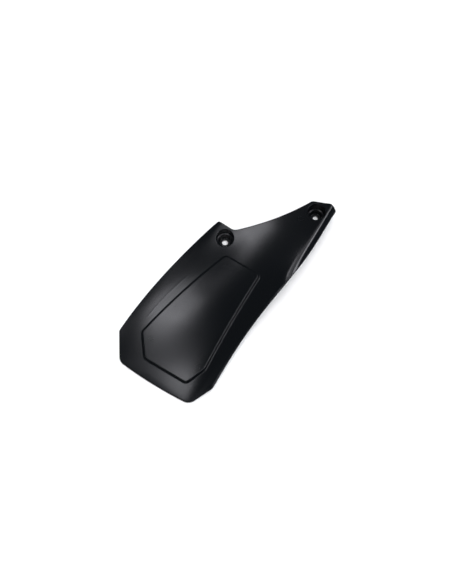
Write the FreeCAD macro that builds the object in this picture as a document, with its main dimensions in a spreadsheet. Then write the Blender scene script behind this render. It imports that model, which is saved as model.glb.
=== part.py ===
"""Motorcycle shock mud flap: one moulded plastic piece, as a parametric document in millimetres.

The flap is a thin dished skin with a raised six-sided panel, two deep screw cups and one folded edge.
The origin is the foot of the lower screw cup, on its axis. +Z points out of the dished face along the
screws, +Y runs up the flap to the upper cup, and +X runs across to the folded edge.
"""
import FreeCAD
import Part
import math
import os
import Sketcher
from dataclasses import asdict, dataclass
from FreeCAD import Placement, Rotation, Vector

NODE = "mud_flap"

# Driving sizes of the whole flap, in mm
SIZES = {
    "mount_across": 67.5,
    "mount_along": 81.0,
    "drop": 175.1,
    "wall": 2.2,
    "edge_bevel": 0.5,
    "overlap": 0.6,
    # cross sections: widths of the rolled left edge, the right border and the fold
    "roll_width": 4.5,
    "right_border": 17.0,
    "fold_width": 10.0,
    # the fold line and the corners of the plan
    "fold_reach": 18.8,
    "top_reach": 17.4,
    "crest_reach": 8.3,
    "fold_end_drop": 5.0,
    "tip_inset": 11.5,
    "tip_reach": 9.6,
    "notch_across": 3.0,
    "ear_top": 13.1,
    "ear_left": 16.9,
    "left_cut_across": 36.4,
    "left_cut_rise": 27.4,
    "tail_left": 16.0,
    "tail_right_inset": 15.8,
    "tail_right_lift": 2.4,
    "right_cut_run": 11.2,
    "right_cut_rise": 27.2,
    "arm_radius": 270.0,
    "left_radius": 490.0,
    "tail_radius": 460.0,
    # roundings of the plan's corners
    "tail_left_round": 11.0,
    "tail_right_round": 11.0,
    "left_cut_round": 6.0,
    "right_cut_round": 10.0,
    "ear_round": 3.0,
    "notch_round": 9.0,
    "tip_round": 6.0,
    "fold_round": 3.0,
    # raised panel
    "panel_step": 2.2,
    "panel_bevel": 1.0,
    "panel_round": 5.0,
    "panel_top": 16.1,
    "panel_top_left": 12.1,
    "panel_top_right": 56.0,
    "panel_right": 63.6,
    "panel_right_lift": 41.1,
    "panel_foot_right": 55.7,
    "panel_foot_right_lift": 18.5,
    "panel_foot_left": 4.5,
    "panel_foot_left_lift": 16.6,
    "panel_left": 14.8,
    "panel_left_lift": 38.9,
    "panel_left_radius": 490.0,
    "panel_right_radius": 980.0,
    # screw cups
    "lower_bore": 6.5,
    "upper_bore": 5.5,
    "cup_floor": 2.5,
    "cup_floor_radius": 5.5,
    "cup_step": 8.0,
    "cup_step_inner": 7.2,
    "cup_step_outer": 8.75,
    "cup_rim": 17.5,
    "cup_rim_radius": 10.0,
    "cup_wall": 1.5,
    "cup_mouth": 8.0,
    "lower_rim_bevel": 1.2,
    "upper_rim_bevel": 0.7,
}


@dataclass(frozen=True)
class Station:
    """One cross section of the dished skin, from its left end to its right edge, in mm.

    along: place on Y; the tail's is measured past the tail edge and the tip's past the upper screw axis
    left: place of the left end on X
    floor: height of the dish's floor
    left_rise: rise of the left border above the floor
    roll: drop of the rolled left edge below its border
    border: width of the left border, up to its crease
    crease: height of the crease above the floor
    inset: distance of the right edge from the fold line
    right_rise: rise of the right border above the floor
    inner_rise: rise at the inner side of the right border
    outer_rise: rise where the fold starts
    fold: drop of the folded edge below the right border
    lip: width of the fold's lip
    """

    along: float
    left: float
    floor: float
    left_rise: float
    roll: float
    border: float
    crease: float
    inset: float
    right_rise: float
    inner_rise: float
    outer_rise: float
    fold: float
    lip: float


STATIONS = {
    "tail": Station(along=8.0, left=-34.0, floor=1.6, left_rise=0.7, roll=0.0, border=16.0, crease=0.7,
                    inset=3.7, right_rise=0.5, inner_rise=0.2, outer_rise=0.6, fold=0.0, lip=4.0),
    "low": Station(along=-125.0, left=-39.5, floor=1.6, left_rise=1.4, roll=0.0, border=19.5, crease=1.1,
                   inset=6.3, right_rise=3.3, inner_rise=0.8, outer_rise=2.3, fold=0.0, lip=4.0),
    "middle": Station(along=-72.0, left=-36.5, floor=2.9, left_rise=1.5, roll=0.0, border=23.0, crease=1.2,
                      inset=7.2, right_rise=7.5, inner_rise=2.7, outer_rise=5.0, fold=0.0, lip=4.0),
    "high": Station(along=-22.0, left=-28.5, floor=9.9, left_rise=0.0, roll=0.5, border=27.0, crease=-0.4,
                    inset=3.0, right_rise=7.2, inner_rise=3.1, outer_rise=4.7, fold=0.0, lip=4.0),
    "ear": Station(along=16.0, left=-20.0, floor=14.4, left_rise=3.4, roll=2.5, border=18.0, crease=0.8,
                   inset=-0.5, right_rise=3.5, inner_rise=2.4, outer_rise=2.9, fold=1.2, lip=4.5),
    "arm": Station(along=60.0, left=-10.0, floor=16.3, left_rise=6.7, roll=0.0, border=16.0, crease=2.8,
                   inset=-0.3, right_rise=2.5, inner_rise=1.0, outer_rise=1.7, fold=4.8, lip=5.0),
    "tip": Station(along=25.0, left=2.0, floor=17.0, left_rise=8.0, roll=0.0, border=16.0, crease=4.0,
                   inset=1.0, right_rise=2.3, inner_rise=1.0, outer_rise=1.6, fold=8.4, lip=4.5),
}

# Reach of the cutting blocks past the flap, in mm
FAR = 40.0
# The most of a step's height that one bevel may take
BEVEL_SHARE = 0.46
# Distance below which two things touch, in mm
TOUCH = 1e-3
# Largest Z part of the direction of an edge that runs level, and of the normal of an upright wall
LEVEL = 0.7
# Points looked at on each edge that may be a cup's rim
RIM_POINTS = 5


class Size:
    """A driving size or a sum of them: its value now, and the expression that binds a feature to it."""

    def __init__(self, value, text):
        self.value = value
        self.text = text

    @staticmethod
    def of(other):
        """Wraps a plain number."""
        return other if isinstance(other, Size) else Size(float(other), f"({float(other)})")

    def __add__(self, other):
        other = Size.of(other)
        return Size(self.value + other.value, f"({self.text} + {other.text})")

    def __sub__(self, other):
        other = Size.of(other)
        return Size(self.value - other.value, f"({self.text} - {other.text})")

    def __mul__(self, other):
        other = Size.of(other)
        return Size(self.value * other.value, f"({self.text} * {other.text})")

    def __truediv__(self, other):
        other = Size.of(other)
        return Size(self.value / other.value, f"({self.text} / {other.text})")

    def __neg__(self):
        return Size(-self.value, f"(-{self.text})")


def make_sheet(doc):
    """Writes every driving size into a spreadsheet and returns the sizes by name."""
    sheet = doc.addObject("Spreadsheet::Sheet", "sizes")
    cells = dict(SIZES)
    for station, values in STATIONS.items():
        for name, value in asdict(values).items():
            cells[f"{station}_section_{name}"] = value
    for row, (name, value) in enumerate(cells.items(), 1):
        sheet.set(f"A{row}", name)
        sheet.set(f"B{row}", str(value))
        sheet.setAlias(f"B{row}", name)
    doc.recompute()
    return {name: Size(float(sheet.get(name)), f"sizes.{name}") for name in cells}


def bind(item, path, size):
    """Binds a property of an object to a size."""
    item.setExpression(path, Size.of(size).text)


def pin(sketch, geometry, point, across, up):
    """Holds one point of a sketch at two sizes."""
    for kind, size in (("DistanceX", across), ("DistanceY", up)):
        constraint = Sketcher.Constraint(kind, -1, 1, geometry, point, size.value)
        index = sketch.addConstraint(constraint)
        bind(sketch, f"Constraints[{index}]", size)


def spline_sketch(doc, name, along, poles):
    """Draws one cross section of the skin as a cubic spline in the plane at a place along Y."""
    sketch = doc.addObject("Sketcher::SketchObject", name)
    sketch.Placement = Placement(Vector(0, along.value, 0), Rotation(Vector(1, 0, 0), 90))
    bind(sketch, "Placement.Base.y", along)
    points = [Vector(across.value, up.value, 0) for across, up in poles]
    spline = sketch.addGeometry(Part.BSplineCurve(points, None, None, False, 3, None, False), False)
    handles = []
    for point in points:
        handles.append(sketch.addGeometry(Part.Circle(point, Vector(0, 0, 1), 1.0), True))
    links = [Sketcher.Constraint("Weight", handles[0], 1.0)]
    links += [Sketcher.Constraint("Equal", handles[0], handle) for handle in handles[1:]]
    control_point = "InternalAlignment:Sketcher::BSplineControlPoint"
    for place, handle in enumerate(handles):
        links.append(Sketcher.Constraint(control_point, handle, 3, spline, place))
    sketch.addConstraint(links)
    for handle, (across, up) in zip(handles, poles):
        pin(sketch, handle, 3, across, up)
    return sketch


def closed_sketch(doc, name, corners, arcs=None):
    """Draws a closed outline through its corners; arcs gives a radius and a side for some of its sides."""
    sketch = doc.addObject("Sketcher::SketchObject", name)
    points = [Vector(across.value, up.value, 0) for across, up in corners]
    ends = []
    for place, start in enumerate(points):
        end = points[(place + 1) % len(points)]
        radius, side = (arcs or {}).get(place, (None, 0))
        if radius is None:
            side_index = sketch.addGeometry(Part.LineSegment(start, end), False)
            ends.append((side_index, 1, 2))
            continue
        chord = end - start
        sagitta = radius.value - math.sqrt(radius.value ** 2 - (chord.Length / 2) ** 2)
        middle = (start + end) / 2 + Vector(-chord.y, chord.x, 0).normalize() * (sagitta * side)
        side_index = sketch.addGeometry(Part.Arc(start, middle, end), False)
        forward = sketch.getPoint(side_index, 1).isEqual(start, TOUCH)
        ends.append((side_index, 1, 2) if forward else (side_index, 2, 1))
    for place, (side_index, _, last) in enumerate(ends):
        next_index, first, _ = ends[(place + 1) % len(ends)]
        sketch.addConstraint(Sketcher.Constraint("Coincident", side_index, last, next_index, first))
    for place, (radius, _) in (arcs or {}).items():
        index = sketch.addConstraint(Sketcher.Constraint("Radius", ends[place][0], radius.value))
        bind(sketch, f"Constraints[{index}]", radius)
    for (side_index, first, _), (across, up) in zip(ends, corners):
        pin(sketch, side_index, first, across, up)
    return sketch


def extrude(doc, name, base, upward, downward):
    """Extrudes a sketch or a surface along Z by fixed reaches."""
    block = doc.addObject("Part::Extrusion", name)
    block.Base = base
    block.DirMode = "Custom"
    block.Dir = Vector(0, 0, 1)
    block.LengthFwd = upward
    block.LengthRev = downward
    block.Solid = True
    return block


def offset(doc, name, source, distance, fill):
    """Offsets a surface along its normal, as a new surface or as the solid between the two."""
    result = doc.addObject("Part::Offset", name)
    result.Source = source
    result.Value = distance.value
    result.Fill = fill
    bind(result, "Value", distance)
    return result


def combine(doc, kind, name, base, tool):
    """Joins two solids by Part::Common or Part::Cut."""
    result = doc.addObject(kind, name)
    result.Base = base
    result.Tool = tool
    return result


def fuse(doc, name, solids):
    """Fuses solids into one."""
    result = doc.addObject("Part::MultiFuse", name)
    result.Shapes = solids
    return result


def ease_edges(doc, kind, name, base, eases):
    """Rounds or bevels edges of a solid; eases lists pairs of an edge and its radius or width."""
    doc.recompute()
    result = doc.addObject(kind, name)
    result.Base = base
    numbered = []
    for edge, amount in eases:
        numbers = [number for number, other in enumerate(base.Shape.Edges, 1) if other.isSame(edge)]
        numbered.append((numbers[0], amount.value, amount.value))
    result.Edges = numbered
    doc.recompute()
    return result


def round_edges(doc, name, base, rounds):
    """Rounds edges of a solid; rounds lists pairs of an edge and its radius."""
    return ease_edges(doc, "Part::Fillet", name, base, rounds)


def bevel_edges(doc, name, base, bevels):
    """Bevels edges of a solid; bevels lists pairs of an edge and its width on either side."""
    return ease_edges(doc, "Part::Chamfer", name, base, bevels)


def upright_edges(shape, corners):
    """The upright edges of a block at its corners, in the order of the corners."""
    found = []
    for across, up in corners:
        place = Vector(across.value, up.value, 0)
        for edge in shape.Edges:
            feet = [Vector(vertex.X, vertex.Y, 0) for vertex in edge.Vertexes]
            if len(feet) == 2 and all(foot.isEqual(place, TOUCH) for foot in feet):
                found.append(edge)
    return found


def skin_sections(doc, size):
    """The cross sections of the dished skin, from the tail to the tip."""
    fold_line = size["mount_across"] + size["fold_reach"]
    sections = []
    for station, values in STATIONS.items():
        here = {name: size[f"{station}_section_{name}"] for name in asdict(values)}
        along = here["along"]
        if station == "tail":
            along = -size["drop"] - along
        if station == "tip":
            along = size["mount_along"] + along
        left = here["left"]
        right = fold_line - here["inset"]
        crease = left + here["border"]
        inner = right - size["right_border"]
        third = (inner - crease) / 3.0
        floor = here["floor"]
        left_top = floor + here["left_rise"]
        right_top = floor + here["right_rise"]
        outer_top = floor + here["outer_rise"]
        lip_top = right_top - (right_top - outer_top) * here["lip"] / size["fold_width"]
        poles = (
            (left, left_top - here["roll"]),
            (left + size["roll_width"], left_top),
            (crease, floor + here["crease"]),
            (crease + third, floor),
            (inner - third, floor),
            (inner, floor + here["inner_rise"]),
            (right - size["fold_width"], outer_top),
            (right - here["lip"], lip_top),
            (right, right_top - here["fold"]),
        )
        sections.append(spline_sketch(doc, f"section_{station}", along, poles))
    return sections


def trimmed_sheet(doc, size, skin):
    """The skin at its wall thickness, trimmed to the flap's plan."""
    sheet = offset(doc, "thick_skin", skin, -size["wall"], True)
    fold_line = size["mount_across"] + size["fold_reach"]
    tail = -size["drop"]
    top = size["mount_along"] + size["top_reach"]
    tail_right = (fold_line - size["tail_right_inset"], tail + size["tail_right_lift"])
    past_cut = (tail_right[0] + size["right_cut_run"] * 2.0, tail_right[1] + size["right_cut_rise"] * 2.0)
    crest = (size["mount_across"] + size["crest_reach"], top)
    tip = (size["mount_across"] - size["tip_inset"], size["mount_along"] + size["tip_reach"])
    notch = (size["notch_across"], size["ear_top"])
    ear = (-size["ear_left"], size["ear_top"])
    left_cut = (-size["left_cut_across"], tail + size["left_cut_rise"])
    tail_left = (-size["tail_left"], tail)
    past_fold = (past_cut[0], top - size["fold_end_drop"])
    corners = [tail_right, past_cut, past_fold, crest, tip, notch, ear, left_cut, tail_left]
    arcs = {
        corners.index(tip): (size["arm_radius"], 1),
        corners.index(ear): (size["left_radius"], -1),
        corners.index(tail_left): (size["tail_radius"], -1),
    }
    plan = closed_sketch(doc, "plan", corners, arcs)
    block = extrude(doc, "plan_block", plan, FAR, FAR)
    doc.recompute()
    rounded = (
        (tail_right, size["tail_right_round"]),
        (crest, size["tip_round"]),
        (tip, size["tip_round"]),
        (notch, size["notch_round"]),
        (ear, size["ear_round"]),
        (left_cut, size["left_cut_round"]),
        (tail_left, size["tail_left_round"]),
    )
    edges = upright_edges(block.Shape, [corner for corner, _ in rounded])
    cutter = round_edges(doc, "plan_rounded", block, list(zip(edges, [radius for _, radius in rounded])))
    return combine(doc, "Part::Common", "trimmed_skin", sheet, cutter)


def touches(faces, point):
    """Whether a point lies on one of some faces."""
    vertex = Part.Vertex(point)
    return any(face.distToShape(vertex)[0] < TOUCH for face in faces)


def eased_sheet(doc, size, sheet):
    """The trimmed skin with its two free corners on the folded side rounded and its whole rim bevelled."""
    doc.recompute()
    longest = max(sheet.Shape.Edges, key=lambda edge: edge.Length)
    holders = [face for face in sheet.Shape.Faces if any(edge.isSame(longest) for edge in face.Edges)]
    side = min(holders, key=lambda face: face.Area)
    ends = sorted(side.Edges, key=lambda edge: edge.Length)[:2]
    low, high = sorted(ends, key=lambda edge: edge.CenterOfMass.y)
    free = [(low, size["right_cut_round"]), (high, size["fold_round"])]
    corners = round_edges(doc, "free_corners", sheet, free)
    front_and_back = sorted(corners.Shape.Faces, key=lambda face: face.Area)[-2:]
    rim = [edge for face in front_and_back for edge in face.OuterWire.Edges]
    return bevel_edges(doc, "eased_skin", corners, [(edge, size["edge_bevel"]) for edge in rim])


def panel_corners(size, inset):
    """The six corners of the raised panel; an inset draws them in towards its middle."""
    tail = -size["drop"]
    return [
        (size["panel_top_left"] + inset, -size["panel_top"] - inset),
        (size["panel_top_right"] - inset, -size["panel_top"] - inset),
        (size["panel_right"] - inset, tail + size["panel_right_lift"]),
        (size["panel_foot_right"] - inset / 2.0, tail + size["panel_foot_right_lift"] + inset),
        (size["panel_foot_left"] + inset / 2.0, tail + size["panel_foot_left_lift"] + inset),
        (-size["panel_left"] + inset, tail + size["panel_left_lift"]),
    ]


def panel_block(doc, size, name, inset):
    """An upright block over the raised panel, with rounded corners."""
    corners = panel_corners(size, inset)
    top_right = 1
    left = len(corners) - 1
    sides = {top_right: (size["panel_right_radius"], -1), left: (size["panel_left_radius"], 1)}
    block = extrude(doc, f"{name}_block", closed_sketch(doc, f"{name}_plan", corners, sides), FAR, FAR)
    doc.recompute()
    rounds = [(edge, size["panel_round"]) for edge in upright_edges(block.Shape, corners)]
    return round_edges(doc, f"{name}_rounded", block, rounds)


def raised_sheet(doc, size, skin, seam, sheet):
    """The sheet with its panel raised by one step, the step's edges bevelled, and the back relieved."""
    slab = offset(doc, "panel_slab", seam, size["overlap"] + size["panel_step"], True)
    block = panel_block(doc, size, "panel", Size.of(0.0))
    panel = combine(doc, "Part::Common", "panel", slab, block)
    joined = fuse(doc, "sheet_and_panel", [sheet, panel])
    doc.recompute()
    walls = [face for face in block.Shape.Faces if abs(face.normalAt(0, 0).z) < LEVEL]
    width = min(size["panel_bevel"], size["panel_step"] * BEVEL_SHARE, key=lambda choice: choice.value)
    step = []
    for edge in joined.Shape.Edges:
        level = abs(edge.tangentAt(edge.FirstParameter).z) < LEVEL
        middle = edge.valueAt((edge.FirstParameter + edge.LastParameter) / 2.0)
        if level and touches(walls, middle):
            step.append((edge, width))
    raised = bevel_edges(doc, "eased_panel", joined, step)
    back = offset(doc, "back", skin, -size["wall"] - size["overlap"], False)
    relief_slab = offset(doc, "relief_slab", back, size["overlap"] + size["panel_step"], True)
    relief_block = panel_block(doc, size, "relief", size["wall"])
    relief = combine(doc, "Part::Common", "relief", relief_slab, relief_block)
    return combine(doc, "Part::Cut", "relieved_sheet", raised, relief)


def cup_profile(doc, name, across, along, corners):
    """A closed half profile in an upright plane through a screw axis."""
    profile = closed_sketch(doc, name, corners)
    profile.Placement = Placement(Vector(across.value, along.value, 0), Rotation(Vector(1, 0, 0), 90))
    bind(profile, "Placement.Base.x", across)
    bind(profile, "Placement.Base.y", along)
    return profile


def revolve(doc, name, profile, across, along):
    """Turns a half profile about an upright axis at a place of the plan."""
    solid = doc.addObject("Part::Revolution", name)
    solid.Source = profile
    solid.Axis = Vector(0, 0, 1)
    solid.Base = Vector(across.value, along.value, 0)
    bind(solid, "Base.x", across)
    bind(solid, "Base.y", along)
    solid.Angle = 360.0
    solid.Solid = True
    return solid


def screw_cup(doc, size, name, across, along, bore):
    """The outside of a stepped screw cup and the space inside it, with its bore."""
    axis = Size.of(0.0)
    wall = size["cup_wall"]
    mouth = size["cup_rim"] + size["cup_mouth"]
    draft = (size["cup_rim_radius"] - size["cup_step_outer"]) / (size["cup_rim"] - size["cup_step"])
    mouth_radius = size["cup_rim_radius"] + draft * size["cup_mouth"]
    shoulder = size["cup_step"] - wall
    outside = (
        (axis, axis),
        (size["cup_floor_radius"] + wall, axis),
        (size["cup_step_inner"] + wall, shoulder),
        (size["cup_step_outer"] + wall, shoulder),
        (mouth_radius + wall, mouth),
        (axis, mouth),
    )
    below = -size["cup_mouth"]
    inside = (
        (axis, below),
        (bore / 2.0, below),
        (bore / 2.0, size["cup_floor"]),
        (size["cup_floor_radius"], size["cup_floor"]),
        (size["cup_step_inner"], size["cup_step"]),
        (size["cup_step_outer"], size["cup_step"]),
        (mouth_radius, mouth),
        (axis, mouth),
    )
    solids = []
    for part_name, corners in (("outside", outside), ("inside", inside)):
        profile = cup_profile(doc, f"{name}_{part_name}_profile", across, along, corners)
        solids.append(revolve(doc, f"{name}_{part_name}", profile, across, along))
    return solids


def rim_edges(shape, space, size):
    """The edges where the skin meets the upper wall of a cup's space."""
    step = size["cup_step"].value
    walls = [face for face in space.Faces if face.BoundBox.ZMin > step - TOUCH]
    found = []
    for edge in shape.Edges:
        points = edge.discretize(RIM_POINTS)
        above = all(point.z > step + size["cup_wall"].value for point in points)
        if above and all(touches(walls, point) for point in points):
            found.append(edge)
    return found


def cupped_sheet(doc, size, seam, sheet):
    """The sheet with its two screw cups hung below the skin, and their rims bevelled."""
    lower = screw_cup(doc, size, "lower_cup", Size.of(0.0), Size.of(0.0), size["lower_bore"])
    upper = screw_cup(doc, size, "upper_cup", size["mount_across"], size["mount_along"], size["upper_bore"])
    below_skin = extrude(doc, "below_skin", seam, 0.0, FAR)
    hung = []
    for name, (outside, _) in (("lower", lower), ("upper", upper)):
        hung.append(combine(doc, "Part::Common", f"{name}_hung", outside, below_skin))
    joined = fuse(doc, "sheet_and_cups", [sheet] + hung)
    spaces = fuse(doc, "cup_spaces", [lower[1], upper[1]])
    opened = combine(doc, "Part::Cut", "open_cups", joined, spaces)
    doc.recompute()
    rims = [(edge, size["lower_rim_bevel"]) for edge in rim_edges(opened.Shape, lower[1].Shape, size)]
    rims += [(edge, size["upper_rim_bevel"]) for edge in rim_edges(opened.Shape, upper[1].Shape, size)]
    return bevel_edges(doc, NODE, opened, rims)


def check(doc):
    """Stops if any object of the document failed or has a broken shape."""
    for item in doc.Objects:
        if "Invalid" in item.State or "Error" in item.State:
            raise RuntimeError(f"{item.Label} failed: {item.State}")
        shape = getattr(item, "Shape", None)
        if shape is not None and (shape.isNull() or not shape.isValid()):
            raise RuntimeError(f"{item.Label} has a broken shape")


def main():
    """Builds the flap and writes its STEP file."""
    doc = FreeCAD.newDocument(NODE)
    size = make_sheet(doc)
    skin = doc.addObject("Part::Loft", "skin")
    skin.Sections = skin_sections(doc, size)
    skin.Solid = False
    skin.Ruled = False
    seam = offset(doc, "seam", skin, -size["overlap"], False)
    sheet = eased_sheet(doc, size, trimmed_sheet(doc, size, skin))
    raised = raised_sheet(doc, size, skin, seam, sheet)
    flap = cupped_sheet(doc, size, seam, raised)
    flap.Label = NODE
    doc.recompute()
    check(doc)
    solids = flap.Shape.Solids
    if len(solids) != 1:
        raise RuntimeError(f"{NODE} has {len(solids)} solids")
    os.makedirs("parts", exist_ok=True)
    solids[0].exportStep(f"parts/{NODE}.step")


main()
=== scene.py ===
"""Looks of a motorcycle shock mud flap: its moulded shell, its finish, its light and its camera.

The shell is laid over the same dished skin as the flap's solid: seven cross sections, lofted to one smooth
surface. Only the fold starts a little lower here. Lengths are in millimetres up to the point where a mesh is
written, and in metres from there on.
"""

import logging
import math
from dataclasses import dataclass, field
from enum import Enum

import bpy
import numpy as np
from mathutils import Matrix, Vector
from mathutils.geometry import delaunay_2d_cdt
from mathutils.kdtree import KDTree


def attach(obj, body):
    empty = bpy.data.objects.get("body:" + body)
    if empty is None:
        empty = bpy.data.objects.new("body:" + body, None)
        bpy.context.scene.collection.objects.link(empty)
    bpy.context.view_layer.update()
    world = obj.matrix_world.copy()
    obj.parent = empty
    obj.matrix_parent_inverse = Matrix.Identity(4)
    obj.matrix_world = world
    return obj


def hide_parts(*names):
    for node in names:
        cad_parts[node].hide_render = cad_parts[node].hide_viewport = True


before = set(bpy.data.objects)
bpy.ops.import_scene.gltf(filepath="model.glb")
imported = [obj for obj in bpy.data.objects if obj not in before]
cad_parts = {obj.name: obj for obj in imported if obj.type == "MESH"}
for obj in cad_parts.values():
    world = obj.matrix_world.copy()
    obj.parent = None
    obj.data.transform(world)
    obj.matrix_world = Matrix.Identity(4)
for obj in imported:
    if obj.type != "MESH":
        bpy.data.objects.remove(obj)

LOG = logging.getLogger("mud_flap")
MM = 0.001
NODE = "mud_flap"
BODY = "root"
UP = np.array((0.0, 0.0, 1.0))
WHITE = (1.0, 1.0, 1.0, 1.0)
# Y of the tail edge, and the place of the upper screw, in mm
TAIL = -175.1
UPPER_ACROSS = 67.5
UPPER_ALONG = 81.0
# Distance between the points of an outline's sides before its corners are rounded, in mm
SIDE_STEP = 0.1
# Height of the rows of a three-sided lattice, and least distance of its points from an edge, in spacings
ROW_SHARE = math.sqrt(0.75)
CLEAR_SHARE = 0.6
# Distance within which two points of a filled face are one, in mm
MERGE = 1e-6

# Numbers of a loop's points in the shell, and their coordinates on the skin
Ring = tuple[np.ndarray, np.ndarray]


def unit(vectors: np.ndarray) -> np.ndarray:
    """Rows of vectors at length one."""
    return vectors / np.linalg.norm(vectors, axis=-1, keepdims=True)


def dot(first: np.ndarray, second: np.ndarray) -> np.ndarray:
    """Products of two lists of vectors, row by row, as a column."""
    return (first * second).sum(-1, keepdims=True)


def spline_basis(knots: np.ndarray, degree: int, places: np.ndarray) -> np.ndarray:
    """Weights of a B-spline's poles.

    Args:
        knots: The whole knot row, with its repeats.
        degree: Degree of the spline.
        places: Parameters to look at.

    Returns:
        One row of weights for each parameter.
    """
    places = np.clip(places, knots[0], knots[-1])[:, None]
    last = np.searchsorted(knots, knots[-1]) - 1
    weights = ((places >= knots[:-1]) & (places < knots[1:])).astype(float)
    weights[:, last] += places[:, 0] >= knots[-1]
    for rank in range(1, degree + 1):
        spans = knots[rank:] - knots[:-rank]
        shares = np.divide(places - knots[:-rank], spans, out=np.zeros((len(places), len(spans))), where=spans > 0)
        falls = np.where(spans > 0, 1.0 - shares, 0.0)
        weights = shares[:, :-1] * weights[:, :-1] + falls[:, 1:] * weights[:, 1:]
    return weights


@dataclass(frozen=True)
class Station:
    """One cross section of the dished skin, from its left end to its right edge, in mm.

    along: place on Y
    left: place of the left end on X
    floor: height of the dish's floor
    left_rise: rise of the left border above the floor
    roll: drop of the rolled left edge below its border
    border: width of the left border, up to its crease
    crease: height of the crease above the floor
    right: place of the right edge on X
    right_rise: rise of the right border above the floor
    inner_rise: rise at the inner side of the right border
    outer_rise: rise where the fold starts
    fold: drop of the folded edge below the right border
    lip: width of the fold's lip
    """

    along: float
    left: float
    floor: float
    left_rise: float
    roll: float
    border: float
    crease: float
    right: float
    right_rise: float
    inner_rise: float
    outer_rise: float
    fold: float
    lip: float


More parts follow.
